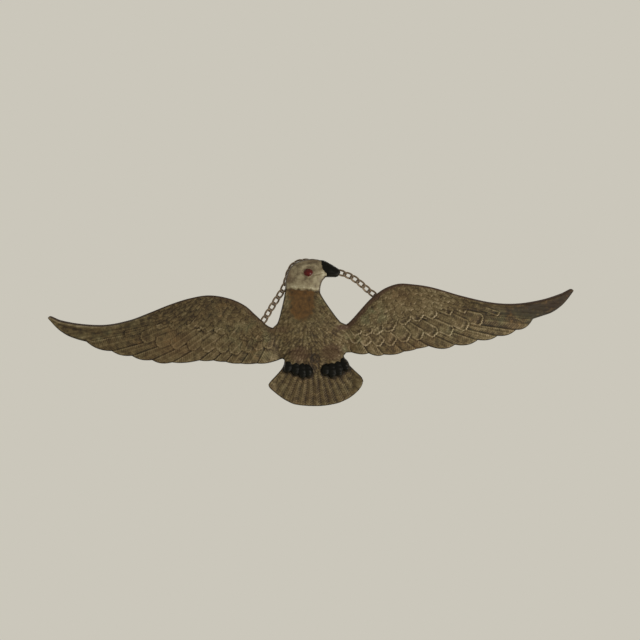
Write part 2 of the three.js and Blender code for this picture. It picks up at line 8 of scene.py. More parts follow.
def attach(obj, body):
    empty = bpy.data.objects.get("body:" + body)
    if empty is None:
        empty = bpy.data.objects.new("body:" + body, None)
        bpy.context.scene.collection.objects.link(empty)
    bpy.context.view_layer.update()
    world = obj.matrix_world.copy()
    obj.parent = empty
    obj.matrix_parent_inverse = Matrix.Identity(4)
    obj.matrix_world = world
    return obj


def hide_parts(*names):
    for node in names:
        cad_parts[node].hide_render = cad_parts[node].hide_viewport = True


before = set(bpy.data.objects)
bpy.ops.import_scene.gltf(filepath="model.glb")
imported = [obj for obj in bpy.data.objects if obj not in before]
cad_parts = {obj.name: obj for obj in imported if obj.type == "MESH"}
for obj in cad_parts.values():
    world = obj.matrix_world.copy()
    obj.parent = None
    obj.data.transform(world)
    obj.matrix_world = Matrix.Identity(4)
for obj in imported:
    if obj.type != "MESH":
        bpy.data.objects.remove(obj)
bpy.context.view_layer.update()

# A cast brass eagle with spread wings. Shapes are in millimetres and laid out from the shoulder line:
# x to the viewer's right, z up, and "height" is the distance in front of the wall, towards -Y.
MM = 0.001
PAD_BELOW_SHOULDERS = 24
GRID = 0.52  # spacing of the front's mesh
GRID_X, GRID_Z = (-238, 238.5), (-70, 66)  # a little past the casting
BLOCK = 5  # grid cells along the side of one face of the plain back
BLURS = (2, 7)  # in cells: small and large hollows are what lies below the front blurred this far

# Casting
BACK_LIFT = 5
SHOULDER_LIFT = (26, 46)  # the back leaves the wall over this stretch of a wing
TIP_LANDING = (115, 225)  # and comes most of the way back over this one
TIP_LANDING_SHARE = 0.8
NECK_LIFT = (-14, 10)  # heights between which it leaves the wall at the neck
NECK_REACH = (30, 60)  # and how far from the middle that reaches
EDGE_ROUND = 1.5
EDGE_MIDDLE = 0.45  # the casting's edge stands furthest out at this share of its thickness
EDGE_THICKNESS = 2.7
THINNEST = 2.2
WING_CROWN = 4.7
WING_HEEL = 3.8
BODY_SIDE, BODY_CROWN = 2.6, 7.6  # thickness at the sides and along the middle
HEAD_SIDE, HEAD_CROWN = 3.2, 8.4
BEAK_SIDE, BEAK_CROWN = 2.4, 6.6
BEAK_RAISE = 0.8
TAIL_THICKNESS = 3.6
LUG_RADIUS = 4.48
LUG_WIRE_RADIUS = 0.5
LINK_HALF_LENGTH = 4.32
LINK_HALF_WIDTH = 2.16  # a little under the faceted links, which the smooth ones stay inside
LINK_WIRE_RADIUS = 0.86
LINK_SQUARENESS = 0.55  # below 1 the oval has fuller corners
LINK_TWIST = math.radians(52)
LUG_PLACES = [(-49.5, 3.3, 50), (64.2, 23.2, -42)]  # x, z and the chain's direction in degrees

# Outlines: wings are given outwards from the body, with x away from the middle
RIGHT_WING = {
    "side": 1, "seed": 11, "crispness": 1.0, "brown_edge": 1.0,
    "top": [
        (22, 3.4), (30.6, 3.9), (36, 8), (45, 17.1), (52.2, 24.3), (58.5, 29.2), (67.5, 34.5), (79, 37.7),
        (90, 36.9), (108, 33.3), (135, 24.1), (162, 16.7), (184, 14.6), (207, 16.9), (225, 21.6), (233, 25.1),
        (235, 25), (236.3, 23.8),
    ],
    "notches": [
        (34.2, -21.4), (49.5, -22.9), (63, -24.8), (81, -23.1), (92.7, -21.2), (103.5, -19.4), (126.9, -19.4),
        (147.6, -16.2), (165.6, -13.5), (182.7, -9), (198.5, 0),
    ],
    "bulges": [1.3, 1.7, 1.4, 0.5, 0.3, 3.1, 2.4, 1.9, 2.1, 3.3],
    "tip_belly": [(198.5, 0), (207, 2.3), (216, 5), (225, 10.6), (231, 16.5), (236.3, 23)],
}
LEFT_WING = {
    "side": -1, "seed": 29, "crispness": 0.1, "brown_edge": 0.5,
    "top": [
        (22, 4.2), (35.1, 4.5), (40.5, 7.5), (49.5, 16.6), (58.5, 25.4), (72, 32.4), (90, 36.2), (108, 34.4),
        (126, 29.7), (144, 23.6), (162, 18), (184, 14.9), (207, 16.9), (225, 21.2), (233, 25.1),
        (235, 25), (236, 23.8),
    ],
    "notches": [
        (28.8, -24.1), (50.4, -26.8), (64.8, -26.2), (78.3, -23.9), (89.1, -22.1), (101.7, -21.4),
        (126, -21.9), (144, -18.9), (162, -14.2), (180, -9), (202.5, 0.5),
    ],
    "bulges": [1.4, 0.5, 0.7, 0.5, 0.6, 1.2, 2, 1.8, 1.8, 2.6],
    "tip_belly": [(202.5, 0.5), (211, 3.2), (220, 7.3), (228, 13.6), (236, 23)],
}
NOTCH_SKEW = 0.4
FEATHERS_FROM, FEATHERS_TO = 36, 194  # distances out along a wing
FEATHER_ANGLES = (75, 8)  # degrees below the horizontal at those distances
DRIFT_SEED = 500  # added to the seed of a row of coverts
HACKLE_SEED = 40
HACKLE_ROWS = (-38, 36, 3.4)  # lowest row, end and pitch
HACKLE_LENGTH = 10
TAIL_SEED = 71
TAIL_TONES = 64
GREATER_COVERTS = {
    "tips": [(33, -13), (70, -16), (95, -11.8), (135, -5.4), (168, 5.9)],
    "first": 33, "last": 168, "count": 11, "spread": 1.2, "stagger": 0.5, "length": 27, "rise": 1.0,
}
MEDIAN_COVERTS = {
    "tips": [(36, -6.5), (65, -5), (85, 2), (112, 8), (146, 11)],
    "first": 37, "last": 146, "count": 9, "spread": 1.15, "stagger": 0, "length": 19, "rise": 0.95,
}
LESSER_SHARES = [0.84, 0.69, 0.55, 0.41, 0.28, 0.16, 0.06]  # from the median coverts up to the wing's edge
LESSER_COVERTS = {"first": 36, "last": 141, "count": 20, "spread": 1.08, "length": 9, "rise": 0.42}

NECK_PATCH = (-7.5, 24, 12.5, 18)  # middle, lower end of its straight sides, half width and depth below
BODY_REACH, HEAD_REACH, BEAK_REACH = (-25.5, 40), (33, 63.9), (5, 28)  # heights, and the beak's distances
BODY_LEFT = [
    (-25.5, -26), (-21, -30), (-12, -34), (2, -36), (4.5, -34.6), (8.1, -30.6), (18, -27), (30.6, -23.4),
    (38, -21.9),
]
BODY_RIGHT = [
    (-25.5, 26), (-21, 30), (-12, 34), (1, 34), (3.8, 30.8), (6.3, 26.1), (17.6, 18), (29.7, 10.8), (38, 7.4),
]
HEAD_LEFT = [
    (35.5, -22.3), (40, -21.6), (43.5, -21.5), (47.5, -20.9), (51.9, -19.4), (55.7, -17.5),
    (59.1, -14.5), (61.7, -10.2), (63, -5.6), (63.6, -1.4), (63.9, 2),
]
HEAD_RIGHT = [
    (35.5, 9.2), (40, 10.1), (44, 11.9), (47, 14.7), (50, 15.4), (54, 13.5), (58.5, 12.8), (61.7, 11.3),
    (63.1, 8.5), (63.9, 4),
]
BEAK_TOP = [(9, 62.4), (13, 62.2), (16.2, 60.8), (19.8, 58.5), (24.3, 55.4), (27, 53.4), (28, 51.8)]
BEAK_BOTTOM = [
    (9, 45.6), (12, 46), (14.7, 46.8), (18, 46.7), (21.6, 46.5), (24.3, 46.5), (26.6, 47.8), (28, 50.3),
]
FAN_TOP = [
    (-41.3, -46), (-40.4, -44.6), (-38.6, -42.6), (-33.3, -37.6), (-29.7, -33.8), (-28, -31.5),
    (-26.6, -28.4), (-24, -13), (24, -13), (27.4, -24.5), (29.2, -28.8), (32.4, -33.3), (36, -37.3),
    (41.4, -42.7), (42.8, -44.7), (43.4, -46.6),
]
FAN_BOTTOM = [
    (-41.3, -47.4), (-40.4, -49.3), (-38.7, -51.2), (-33.3, -56.4), (-27, -61.3), (-18, -65.7), (2, -68.1),
    (18, -66.8), (27, -63.9), (32.8, -60.7), (38.7, -55.8), (42, -51.4), (43.4, -47.9),
]
FAN_CENTRE = (1, -4)
FAN_RAY = math.radians(6.6)
BARB_PITCH = 2.1
BARB_SLANT = 0.75  # how far a barb runs back for each step across
CUT_WIDTH = 0.9
BELLY = [  # height up, half width and thickness
    (-12, 20, 3.5), (-19, 19.5, 7.4), (-25, 17.5, 8.4), (-30.5, 13, 7.8), (-35.5, 7.5, 6.2), (-39, 2.5, 4.4),
]
PLACES = {  # stretches of the patina, and in "dark" also of painted shade, as over the far end of the right wing: middle, half width, half height and strength, below 0 for less
    "dark": [
        (215, 12, 48, 22, 0.6), (232, 20, 24, 14, 0.7), (168, 8, 48, 18, 0.22), (-90, 26, 62, 20, 0.15),
        (-200, 12, 60, 20, 0.04), (-150, 10, 40, 20, 0.04), (-60, -5, 50, 20, 0.04), (0, -26, 10, 10, 0.5),
        (1, -56, 60, 22, 0.14), (-6.5, 33.6, 16, 3.2, 0.4), (30, -12, 12, 11, -0.2), (85, 21, 50, 15, -0.17),
        (100, -16, 50, 8, 0.1),
    ],
    "green": [
        (54, 13, 20, 16, 0.8), (32, -12, 13, 11, 1), (120, -8, 30, 10, 0.4), (175, 2, 34, 10, 0.5),
        (-52, -4, 26, 24, 0.5), (-18, 28, 7, 18, 0.5), (12, 22, 6, 16, 0.55), (-190, 12, 40, 16, 0.3),
    ],
    "warm": [
        (80, 27, 16, 13, 0.45), (90, -16, 26, 9, 0.5), (-122, -8, 42, 16, 0.5), (0, -52, 40, 16, 0.2),
        (218, 14, 44, 18, 0.25),
    ],
}
THIGH_TINT = [(-12.5, -20.5, 10.5, 8), (17, -20, 11, 8.5)]
VENT = (1.6, -30, 4.4, 8.6, 0)
THIGHS = [(-16, -24.5, 11, 8, -0.35), (17.5, -24.5, 11, 8, 0.35)]
TOES = [
    (-22.7, -31.2, 3.8, 6.2, 0.32), (-16.3, -33, 4.1, 6.8, 0.1), (-10.3, -35.5, 4, 7.4, 0),
    (-5, -35.5, 3.8, 6.8, -0.05), (10.4, -35.8, 3.8, 5.4, 0.1), (16.2, -36.4, 4.2, 7.6, 0),
    (22, -34.8, 4.2, 7.9, -0.1), (27.8, -31.9, 3.8, 6.6, -0.4),
]
EYE = {"at": (-0.6, 51.5), "half": (4.2, 3.4), "proud": 1.3}
BROW_RIDGE = [(-9, 57), (-2, 58.2), (5, 57.6), (12, 55.6)]
HEAD_GAPE = [(3, 48.4), (9, 49.6), (17, 50.2)]
BEAK_GAPE = [(9, 49.8), (17, 50.4), (25, 49.4)]
NOSTRIL = (16.4, 56.6, 1.3, 0.8, 0.5)

# Paint: the lower edge of the white head, as height across, and the beak's edge, as distance along height
HEAD_PAINT_EDGE = [(-24, 39.4), (-19.8, 38.7), (-13.5, 37.8), (-4.5, 36.9), (4.5, 35.6), (10, 35)]
BEAK_PAINT_EDGE = [
    (46.2, 13.2), (47.1, 14.2), (48.3, 15.8), (49.6, 15.8), (51.5, 14.3), (54.2, 12.6), (62.1, 11.7),
]


def smooth(x, low, high):
    t = np.clip((x - low) / (high - low), 0, 1)
    return t * t * (3 - 2 * t)


def lerp(a, b, t):
    return a + (b - a) * t


def hump(x, width):
    """1 where x is 0, fading away on both sides."""
    return np.exp(-((x / width) ** 2))


def wave(x, length):
    return np.sin(2 * math.pi * x / length)


def rounded(share, bend=1.0):
    """Section of a round form from side to side, as share goes from -1 to 1."""
    return np.sqrt(np.clip(1 - bend * share**2, 0, 1))


def through(points):
    """Smooth curve through points in rising order of their first number."""
    xs, ys = np.array(points, float).T
    last = len(xs) - 1
    before = np.maximum(np.arange(last + 1) - 1, 0)
    after = np.minimum(np.arange(last + 1) + 1, last)
    slope = (ys[after] - ys[before]) / (xs[after] - xs[before])

    def curve(x):
        i = np.clip(np.searchsorted(xs, x) - 1, 0, last - 1)
        span = xs[i + 1] - xs[i]
        t = np.clip((x - xs[i]) / span, 0, 1)
        t2, t3 = t * t, t * t * t
        start = (2 * t3 - 3 * t2 + 1) * ys[i] + (t3 - 2 * t2 + t) * span * slope[i]
        return start + (3 * t2 - 2 * t3) * ys[i + 1] + (t3 - t2) * span * slope[i + 1]

    return curve


def steepness(curve, x, reach=0.4):
    """Length along a curve for each step across it."""
    return np.sqrt(1 + ((curve(x + reach) - curve(x - reach)) / (2 * reach)) ** 2)


def back_height(x, z):
    """Height of the plain back in front of the wall."""
    across = np.abs(x)
    wings = smooth(across, *SHOULDER_LIFT) * (1 - TIP_LANDING_SHARE * smooth(across, *TIP_LANDING))
    neck = smooth(z, *NECK_LIFT) * (1 - smooth(across, *NECK_REACH))
    return BACK_LIFT * (1 - (1 - wings) * (1 - neck))


def lower_edge(wing):
    belly = through(wing["tip_belly"])
    notch_x, notch_z = np.array(wing["notches"], float).T
    bulge = np.array(wing["bulges"])

    def edge(x):
        i = np.clip(np.searchsorted(notch_x, x) - 1, 0, len(bulge) - 1)
        t = np.clip((x - notch_x[i]) / (notch_x[i + 1] - notch_x[i]), 0, 1)
        drop = 4 * t * (1 - t) * (1 + NOTCH_SKEW * (t - 0.5)) * bulge[i]
        return np.where(x >= notch_x[-1], belly(x), lerp(notch_z[i], notch_z[i + 1], t) - drop)

    return edge


def feather_angle(x):
    """Which way feathers point, as an angle below the horizontal: down by the body, outwards at the tip."""
    share = np.clip((x - FEATHERS_FROM) / (FEATHERS_TO - FEATHERS_FROM), 0, 1)
    return np.radians(lerp(*FEATHER_ANGLES, share**0.62))


class Relief:
    """Points of the front with what is carved there. Height is added to a smooth face below it."""

    def __init__(self, x, z):
        self.x, self.z = x, z
        self.height = np.zeros_like(x)
        self.barb = np.zeros_like(x)  # distance along a feather's barbs, for their fine lines
        self.vane = np.zeros_like(x)  # 0 on a feather's shaft and 1 at its edge
        self.tone = np.zeros_like(x)  # one value for each feather
        self.cut = np.zeros_like(x)  # 1 in the cut round a feather, which the colour darkens as painted shade
        self.bead = np.zeros_like(x)  # 1 on the raised rim of a feather's end, which the colour lightens as a painted highlight

    def put_feather(
        self, tip, angle, length, half, rise, tone, ridge, dip, barb, bead, point=1.15, hollow=0.0,
        ragged=0.0,
    ):
        """Lay one feather over what is there, with a cut round its end that the colour darkens as painted
        shade.
        """
        reach = length + half
        near = np.flatnonzero((np.abs(self.x - tip[0]) < reach) & (np.abs(self.z - tip[1]) < reach))
        dx, dz = tip[0] - self.x[near], tip[1] - self.z[near]
        back = dx * math.cos(angle) - dz * math.sin(angle)
        across = -dx * math.sin(angle) - dz * math.cos(angle)
        share = np.abs(across) / half
        back = back + ragged * np.sin(1.9 * across + 5 * tone) * np.sin(0.9 * across + 9 * tone)
        depth = back - half * point * (1 - rounded(share))
        inside = (share < 1) & (back < length) & (depth >= 0)
        brim = (share < 1.12) & (back < length) & ~inside & (depth > -CUT_WIDTH)
        on, off = near[inside], near[brim]
        shade = np.clip(1 + depth[brim] / CUT_WIDTH, 0, 1)

        back, across, share, depth = (values[inside] for values in (back, across, share, depth))
        edge = np.minimum(depth, (1 - share) * half)
        height = rise * (1 - 0.6 * np.clip(depth / length, 0, 1)) + 0.22 * (1 - share**2)
        height += ridge * hump(across, 0.55) * smooth(depth, 0.3, 1.5)
        lines = back - BARB_SLANT * np.abs(across)
        height += barb * wave(lines, BARB_PITCH) * smooth(share, 0.1, 0.3)
        height -= hollow * hump(depth - 3.6, 1.6) * (1 - share**2)
        rim = hump(edge - 0.6 - 0.08 * half, 0.42 + 0.07 * half)
        rim *= smooth(length - depth, 0.3 * length, 0.6 * length)
        self.height[on] = height * lerp(0.35, 1, smooth(edge, -0.1, 0.9)) + bead * rim
        self.bead[on] = rim * min(bead / 0.35, 1)
        self.barb[on], self.vane[on], self.tone[on], self.cut[on] = lines, share, tone, 0
        self.height[off] -= dip * shade
        self.cut[off] = np.maximum(self.cut[off], shade)
        self.bead[off] *= 1 - shade


def random_tones(seed, count):
    return np.random.default_rng(seed).uniform(-1, 1, count)


def wing_lines(wing):
    """The wing's edges, and the line that each row of coverts ends on."""
    upper, lower = through(wing["top"]), lower_edge(wing)
    tip_x = wing["top"][-1][0]

    def onwards(row, share_at_tip, reach):
        line, end = through(row["tips"]), row["last"]
        share_at_end = (upper(end) - line(end)) / (upper(end) - lower(end))

        def whole(x):
            share = lerp(share_at_end, share_at_tip, smooth(x, end, reach))
            return np.where(x <= end, line(x), lerp(upper(x), lower(x), share))

        return whole

    greater = onwards(GREATER_COVERTS, 0.86, wing["notches"][-1][0] + 1)
    median = onwards(MEDIAN_COVERTS, 0.36, tip_x)
    return upper, lower, greater, median


def carve_flight_feathers(relief, wing):
    """Long feathers between the coverts and the scallops of the lower edge, then the long one at the tip."""
    x, z = relief.x, relief.z
    tones = random_tones(wing["seed"], len(wing["notches"]) + 1)
    notches = [(2 * wing["notches"][0][0] - wing["notches"][1][0], wing["notches"][0][1])] + wing["notches"]
    angles = [float(feather_angle(nx)) for nx, _ in notches]
    sides = np.array([
        (x - nx) * math.sin(angle) + (z - nz) * math.cos(angle) for (nx, nz), angle in zip(notches, angles)
    ])
    index = np.clip((sides > 0).sum(0) - 1, 0, len(notches) - 2)
    pick = np.arange(len(x))
    inner, outer = sides[index, pick], sides[index + 1, pick]
    width = np.maximum(inner - outer, 0.5)
    q = np.clip(inner / width, 0, 1.2)
    angle = np.array(angles)[index]
    along = x * np.cos(angle) - z * np.sin(angle)
    across = (q - 0.5) * width
    lines = -along - BARB_SLANT * np.abs(across)
    height = 0.55 * (1 - (2 * q - 1) ** 2) + 0.3 * q
    height += 0.3 * hump(across, 0.6)
    height += 0.12 * wave(lines, BARB_PITCH) * smooth(np.abs(across), 0.5, 1.2)
    edge = np.minimum(q, 1 - np.clip(q, 0, 1)) * width
    cut = 1 - smooth(edge, 0, CUT_WIDTH)
    bead = hump((1 - q) * width - 0.9, 0.55)
    tip = outer > 0
    height += 0.25 * bead
    height = np.where(tip, 0.5 + 0.12 * wave(outer, 3.4), height)
    relief.height[:] = height - 0.3 * cut * ~tip
    for name, at_tip, elsewhere in (
        ("barb", outer, lines), ("vane", 0.4, np.abs(2 * q - 1)), ("tone", -0.6, tones[index]),
        ("cut", 0, cut), ("bead", 0, bead),
    ):
        getattr(relief, name)[:] = np.where(tip, at_tip, elsewhere)


def carve_row(relief, line, row, seed, keep_in=None, scatter=0.0, **cut):
    """One row of coverts, laid from the wing's tip inwards so that each overlaps the next one out."""
    count = row["count"]
    drift = scatter * np.random.default_rng(seed + DRIFT_SEED).uniform(-1, 1, (count, 3))
    shares = (np.arange(count + 1) + row["stagger"]) / count
    bounds = row["first"] + (row["last"] - row["first"]) * np.clip(shares, 0, 2) ** row["spread"]
    tones = random_tones(seed, count)
    for i in reversed(range(count)):
        middle = 0.5 * (bounds[i] + bounds[i + 1])
        angle = float(feather_angle(middle))
        drop = float(line(bounds[i + 1]) - line(bounds[i]))
        pitch = (bounds[i + 1] - bounds[i]) * math.sin(angle) + drop * math.cos(angle)
        half = max(0.62 * pitch, 1.6)
        tip = (middle + drift[i, 0], float(line(middle)) + drift[i, 1])
        angle += 0.2 * drift[i, 2]
        if keep_in is None or keep_in(*tip):
            relief.put_feather(tip, angle, row["length"], half, row["rise"], tones[i], **cut)
    beyond = smooth(relief.x, bounds[-1] - 2, bounds[-1] + 6)
    above = relief.z - line(relief.x)
    step = smooth(above, -0.4, 0.4) * smooth(-above, -9, -1)
    relief.height += 0.45 * beyond * step
    relief.cut = np.maximum(relief.cut, beyond * hump(above + 0.5, 0.5))


def wing_front(wing, x, z):
    """Height of a wing's face in front of the wall, with its carving. x runs away from the body."""
    upper, lower, greater, median = wing_lines(wing)
    thickness = through([(0, EDGE_THICKNESS), (0.3, WING_CROWN), (0.66, WING_HEEL), (1, EDGE_THICKNESS)])
    share = np.clip((upper(x) - z) / np.maximum(upper(x) - lower(x), 0.5), 0, 1)
    face = back_height(x, z) + thickness(share) * lerp(1, 0.78, smooth(x, 60, 225))
    relief = Relief(x, z)
    carve_flight_feathers(relief, wing)
    crisp, seed = wing["crispness"], wing["seed"]
    large = {
        "point": 0.85, "ridge": lerp(0.42, 0.16, crisp), "barb": lerp(0.13, 0.07, crisp),
        "dip": 0.08 + 0.12 * crisp, "bead": 0.04 + 0.36 * crisp, "hollow": 0.7 * crisp, "ragged": 0.7,
        "scatter": 0.7,
    }
    carve_row(relief, greater, GREATER_COVERTS, seed + 1, **large)
    carve_row(relief, median, MEDIAN_COVERTS, seed + 2, **large)
    small = {
        "ridge": 0.06, "barb": 0.05, "bead": 0.04 + 0.05 * crisp, "dip": 0.1, "ragged": 0.9, "scatter": 1.2,
    }
    for i, share in enumerate(LESSER_SHARES):
        line = lambda at: lerp(upper(at), median(at), share)
        row = {**LESSER_COVERTS, "stagger": 0.5 * (i % 2)}
        carve_row(relief, line, row, seed + 3 + i, lambda tx, tz: upper(tx) - tz > 1.2, **small)
    relief.height *= smooth(upper(x) - z, 0.2, 2.2)
    return face, relief


def wing_depth(wing, x, z):
    """Distance inside the wing's outline, negative outside."""
    upper, lower = through(wing["top"]), lower_edge(wing)
    tip_x = wing["top"][-1][0]
    top = (upper(x) - z) / steepness(upper, x)
    bottom = (z - lower(x)) / steepness(lower, x)
    return np.minimum(np.minimum(top, bottom), np.minimum(tip_x - x, x - 20))


def band_depth(low, high, u, v, u_from, u_to):
    """Distance inside the band between two curves over u."""
    lower, upper = (v - low(u)) / steepness(low, u), (high(u) - v) / steepness(high, u)
    return np.minimum(np.minimum(lower, upper), np.minimum(u - u_from, u_to - u))


def oval(x, z, at_x, at_z, half_width, half_length, lean):
    """Distance from the middle of a leaning oval, 1 at its edge."""
    dx, dz = x - at_x, z - at_z
    across = (dx * math.cos(lean) - dz * math.sin(lean)) / half_width
    along = (dx * math.sin(lean) + dz * math.cos(lean)) / half_length
    return np.sqrt(across**2 + along**2)


body_left, body_right = through(BODY_LEFT), through(BODY_RIGHT)
head_left, head_right = through(HEAD_LEFT), through(HEAD_RIGHT)
beak_top, beak_bottom = through(BEAK_TOP), through(BEAK_BOTTOM)
fan_bottom = through(FAN_BOTTOM)
fan_top_x, fan_top_z = np.array(FAN_TOP, float).T


def fan_top(x):
    return np.interp(x, fan_top_x, fan_top_z)


def body_depth(x, z):
    return band_depth(body_left, body_right, z, x, *BODY_REACH)


def head_depth(x, z):
    return band_depth(head_left, head_right, z, x, *HEAD_REACH)


def beak_depth(x, z):
    return band_depth(beak_bottom, beak_top, x, z, *BEAK_REACH)


def fan_depth(x, z):
    return band_depth(fan_bottom, fan_top, x, z, FAN_TOP[0][0], FAN_TOP[-1][0])


def toe_depth(x, z):
    return np.max([(1 - oval(x, z, *toe)) * toe[2] for toe in TOES], axis=0)


def outline_depth(x, z):
    """Distance inside the whole casting's outline, negative outside."""
    parts = [
        wing_depth(RIGHT_WING, x, z), wing_depth(LEFT_WING, -x, z), body_depth(x, z), head_depth(x, z),
        beak_depth(x, z), fan_depth(x, z), toe_depth(x, z),
    ]
    return np.max(parts, axis=0)


NOWHERE = -50.0  # height of a form outside its own outline
OVERLAP = 0.5  # how far a form reaches past its outline


def within(depth, front):
    return np.where(depth > -OVERLAP, front, NOWHERE)


def soft_max(a, b, blend):
    share = np.clip(0.5 + 0.5 * (a - b) / blend, 0, 1)
    return lerp(b, a, share) + blend * share * (1 - share)


def neck_patch(x, z, low, high):
    """1 inside the smooth patch of the neck, fading out between the shares low and high of its reach."""
    at_x, at_z, half_width, half_height = NECK_PATCH
    away = np.hypot((x - at_x) / half_width, np.clip(at_z - z, 0, None) / half_height)
    return 1 - smooth(away, low, high)


def carve_hackles(x, z):
    """Narrow pointed feathers, unevenly laid, that fan down over the neck's sides and the breast."""
    relief = Relief(x, z)
    random = np.random.default_rng(HACKLE_SEED)
    for k, row_z in enumerate(np.arange(*HACKLE_ROWS)):
        left, right = float(body_left(max(row_z, -25))), float(body_right(max(row_z, -25)))
        spread = float(smooth(row_z, 5, 25))
        coarse = float(smooth(row_z, -12, 0) * smooth(-row_z, -16, -8))
        step = lerp(3.1, 4.3, coarse)
        starts = np.arange(left + 1.5 + 0.5 * step * (k % 2), right - 0.6, step)
        for tip_x in starts:
            tone, slip_x, slip_z, twist, narrow = random.uniform(-1, 1, 5)
            share = (tip_x - left) / (right - left)
            fanned = float(smooth(share, 0.1, 0.8))
            angle = math.radians(lerp(lerp(134, 112, spread), lerp(44, 50, spread), fanned) + 11 * twist)
            tip = (tip_x + 0.7 * slip_x, row_z + 1.5 * (2 * share - 1) ** 2 + 0.8 * slip_z)
            half = 0.5 * step * (1.1 + 0.2 * narrow)
            relief.put_feather(
                tip, angle, HACKLE_LENGTH, half, 0.24 + 0.08 * tone, tone, ridge=0.15 + 0.08 * narrow,
                dip=0.12, barb=0.05, bead=0.02, point=2.5, ragged=0.3,
            )
    bare = neck_patch(x, z, 0.75, 1.1)
    for values in (relief.height, relief.cut, relief.bead, relief.vane):
        values *= 1 - bare
    return relief


def breast_front(x, z):
    left, right = body_left(z), body_right(z)
    across = (2 * x - left - right) / (right - left)
    crown = BODY_CROWN - 2.2 * smooth(z, 8, 34) - 1.6 * (1 - smooth(z, -30, -8))
    return back_height(x, z) + lerp(BODY_SIDE, crown, rounded(across, 0.92))


def belly_front(x, z):
    up, half, height = np.array(BELLY[::-1], float).T
    share = np.abs(x - 1) / np.interp(z, up, half)
    front = np.interp(z, up, height) * (1 - 0.45 * np.clip(share, 0, 1) ** 2.2)
    return np.where((share < 1) & (z > up[0]) & (z < up[-1]), front, NOWHERE)


def ovals_front(x, z, ovals, centre, rise, knuckles=0.0):
    front = np.full_like(x, NOWHERE)
    for form in ovals:
        away = oval(x, z, *form)
        height = centre + rise * rounded(away)
        height += knuckles * np.cos(2 * math.pi * (z - form[1]) / 3.6) * (1 - np.clip(away, 0, 1))
        front = np.maximum(front, np.where(away < 1, height, NOWHERE))
    return front


def fan_front(x, z):
    """Tail plate with its rays, and the pattern of their barbs."""
    middle = smooth(z, -66, -30) * (1 - smooth(np.abs(x - 1), 4, 44))
    relief = Relief(x, z)
    away = np.hypot(x - FAN_CENTRE[0], z - FAN_CENTRE[1])
    turn = np.arctan2(x - FAN_CENTRE[0], FAN_CENTRE[1] - z) / FAN_RAY
    ray = np.round(turn)
    across = (turn - ray) * FAN_RAY * away
    half = 0.5 * FAN_RAY * away
    share = np.abs(across) / np.maximum(half, 0.1)
    lines = -away - 0.8 * np.abs(across)
    relief.height = 0.28 * (1 - share**2) + 0.22 * hump(across, 0.5)
    relief.height += 0.2 * wave(lines, BARB_PITCH) * smooth(share, 0.1, 0.3)
    relief.cut = 1 - smooth(half - np.abs(across), 0, 0.7)
    relief.height -= 0.12 * relief.cut
    relief.barb, relief.vane = lines, share
    relief.tone = random_tones(TAIL_SEED, TAIL_TONES)[(ray + TAIL_TONES // 2).astype(int) % TAIL_TONES]
    return TAIL_THICKNESS + 1.6 * middle, relief


def head_front(x, z):
    left, right = head_left(z), head_right(z)
    across = np.clip((2 * x - left - right) / (right - left), -1, 1)
    brow = np.sqrt(np.clip(1 - (np.clip(z - 50, 0, None) / 14.6) ** 2, 0.1, 1))
    front = back_height(x, z) + HEAD_SIDE + (HEAD_CROWN - HEAD_SIDE) * rounded(across, 0.9) * brow
    half_width, half_height = EYE["half"]
    socket = oval(x, z, *EYE["at"], half_width * 1.35, half_height * 1.4, 0)
    front -= 0.55 * hump(socket - 0.95, 0.28)
    front += 0.7 * hump(z - through(BROW_RIDGE)(x), 1.1) * smooth(x, -10, -5) * smooth(-x, -13, -8)
    front -= 0.6 * hump(z - through(HEAD_GAPE)(x), 0.6) * smooth(x, 3, 7)
    return within(head_depth(x, z), front)


def head_highlights_and_wear(x, z):
    """Painted highlights on the head's paint round the gape, in a glint right of the eye and along its lower
    lip, less where the paint is worn over the crown and at the back.
    """
    gape = hump(x - 10.5, 6) * hump(z - 49.5, 4.5)
    # a painted glint just right of the eye
    fleck = hump(x - 5, 0.9) * hump(z - 52, 0.9)
    lip = hump(z - through(HEAD_PAINT_EDGE)(x) - 2.2, 1.8)
    worn = smooth(z, 56, 64) + smooth(-x, 9, 19) * smooth(z, 41, 46)
    return gape + fleck + 0.8 * lip - 0.6 * np.clip(worn, 0, 1)


def beak_front(x, z):
    low, high = beak_bottom(x), beak_top(x)
    share = (2 * z - low - high) / np.maximum(high - low, 0.5)
    crown = (BEAK_CROWN - BEAK_SIDE) * rounded(share, 0.85) * (1 - 0.5 * smooth(x, 16, 29))
    front = back_height(x, z) + BEAK_SIDE + BEAK_RAISE + crown
    front -= 0.5 * hump(z - through(BEAK_GAPE)(x), 0.5) * smooth(-x, -24, -20)
    front -= 0.7 * hump(oval(x, z, *NOSTRIL), 1)
    return within(beak_depth(x, z), front)


def eye_front(x, z):
    away = oval(x, z, *EYE["at"], *EYE["half"], 0)
    at = [np.array([value]) for value in EYE["at"]]
    centre = float(head_front(*at)[0]) - EYE["proud"]
    return np.where(away < 1, centre + 2 * EYE["proud"] * rounded(away), NOWHERE)


METAL, WHITE_PAINT, BLACK_PAINT, RED_PAINT = range(4)
PATTERN = ("barb", "vane", "tone", "cut", "bead")


class Front:
    """The front as it is built up form by form: its height, carved pattern and paint at each point."""

    def __init__(self, x, z):
        self.height = np.full_like(x, NOWHERE)
        self.paint = np.full(len(x), METAL)
        self.pattern = Relief(x, z)
        self.pattern.vane[:] = 0.5

    def lay(self, form, relief=None, paint=METAL, blend=0.0):
        """Lay a form over what is there where it stands higher, blending the two where blend is given."""
        on = form > self.height
        self.paint[on] = paint
        for name in PATTERN:
            getattr(self.pattern, name)[on] = getattr(relief, name)[on] if relief else 0
        self.height = soft_max(self.height, form, blend) if blend else np.maximum(self.height, form)


